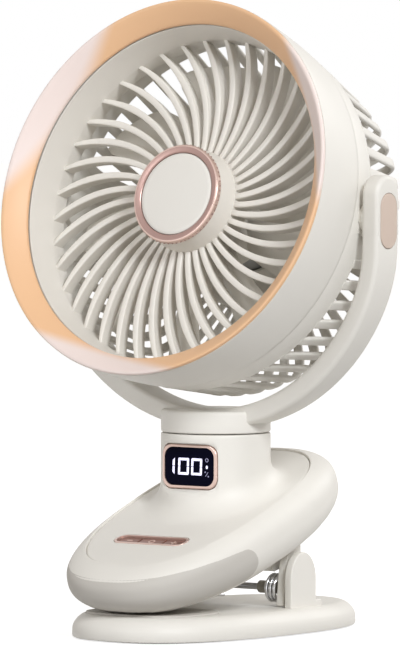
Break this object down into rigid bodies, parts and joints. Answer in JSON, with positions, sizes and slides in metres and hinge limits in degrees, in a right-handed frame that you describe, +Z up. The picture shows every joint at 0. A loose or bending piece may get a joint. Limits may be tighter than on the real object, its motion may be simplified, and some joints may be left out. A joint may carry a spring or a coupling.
{
  "type": "clip fan",
  "caption": "Clip-on desk fan: a ducted round head that tilts in a swivelling fork, on a battery body that is the upper jaw of a sprung clamp with a small display.",
  "frame": {"origin": "where the swivel axis meets the underside of the foot pad", "axes": "+Z up along the swivel axis, the air blows towards -Y, +X is the fan's left side seen from behind"},
  "size_m": [0.1982, 0.1731, 0.298],
  "materials": {
    "white_plastic": "fine satin moulded ABS",
    "soft_pad": "soft matt silicone",
    "soft_grey": "soft-touch overmould",
    "steel": "drawn, lightly brushed",
    "spring_wire": "bright nickel-plated wire",
    "nylon": "moulded nylon",
    "rose_trim": "satin metallic lacquer",
    "ring_paint": "satin two-tone lacquer, apricot to pale pink",
    "dark_lens": "smoked clear acrylic",
    "circuit_board": "solder mask",
    "cell_sleeve": "shrink sleeve over a metal can"
  },
  "bodies": {
    "lower_jaw": {"lower_jaw_plate": "white_plastic", "foot_pad": "soft_pad", "lower_jaw_pad": "soft_pad", "hinge_pin": "steel", "spring_bush_left": "nylon", "spring_bush_right": "nylon", "torsion_spring_left": "spring_wire", "torsion_spring_right": "spring_wire"},
    "upper_body": {"body_lower_shell": "white_plastic", "nose_bumper": "soft_grey", "upper_jaw_pad": "soft_pad", "charging_socket": "steel", "body_top_cover": "white_plastic", "display_bezel": "rose_trim", "display_lens": "dark_lens", "display_module": "circuit_board", "button_bezel": "rose_trim", "battery_cell_1": "cell_sleeve", "battery_cell_2": "cell_sleeve", "control_board": "circuit_board", "swivel_bush": "nylon"},
    "left_key": {"key_left": "rose_trim"},
    "middle_key": {"key_middle": "rose_trim"},
    "right_key": {"key_right": "rose_trim"},
    "yoke": {"yoke_fork": "white_plastic", "pivot_cap_left": "rose_trim", "pivot_cap_right": "rose_trim", "swivel_spindle": "steel", "swivel_retainer": "steel"},
    "head": {"pivot_pin_left": "steel", "pivot_pin_right": "steel", "pivot_washer_left": "nylon", "pivot_washer_right": "nylon", "front_ring": "ring_paint", "front_shroud": "white_plastic", "outlet_duct": "white_plastic", "front_grille": "white_plastic", "hub_shell": "white_plastic", "hub_ring": "rose_trim", "hub_cap": "white_plastic", "rear_guard": "white_plastic", "motor_can": "steel"},
    "rotor": {"impeller": "nylon", "motor_shaft": "steel"}
  },
  "joints": [
    {"name": "clamp_hinge", "type": "hinge", "parent": "lower_jaw", "child": "upper_body", "pos_m": [0, 0.0165, 0.0208], "axis": [-1, 0, 0], "range_deg": [0, 30], "stiffness_Nm_per_rad": 2, "springref_deg": -28.65, "deforming": ["torsion_spring_left", "torsion_spring_right"]},
    {"name": "yoke_swivel", "type": "hinge", "parent": "upper_body", "child": "yoke", "pos_m": [0, 0, 0.094], "axis": [0, 0, 1], "range_deg": [-150, 150]},
    {"name": "head_tilt", "type": "hinge", "parent": "yoke", "child": "head", "pos_m": [0, 0, 0.197], "axis": [-1, 0, 0], "range_deg": [-19, 70]},
    {"name": "impeller_spin", "type": "hinge", "parent": "head", "child": "rotor", "pos_m": [0, 0, 0.197], "axis": [0, -0.9532, 0.3024], "continuous": true},
    {"name": "key_left_press", "type": "slide", "parent": "upper_body", "child": "left_key", "axis": [0, 0.3173, -0.9483], "range_m": [0, 0.0008], "stiffness_N_per_m": 600, "springref_m": -0.0003},
    {"name": "key_middle_press", "type": "slide", "parent": "upper_body", "child": "middle_key", "axis": [0, 0.3173, -0.9483], "range_m": [0, 0.0008], "stiffness_N_per_m": 600, "springref_m": -0.0003},
    {"name": "key_right_press", "type": "slide", "parent": "upper_body", "child": "right_key", "axis": [0, 0.3173, -0.9483], "range_m": [0, 0.0008], "stiffness_N_per_m": 600, "springref_m": -0.0003}
  ]
}
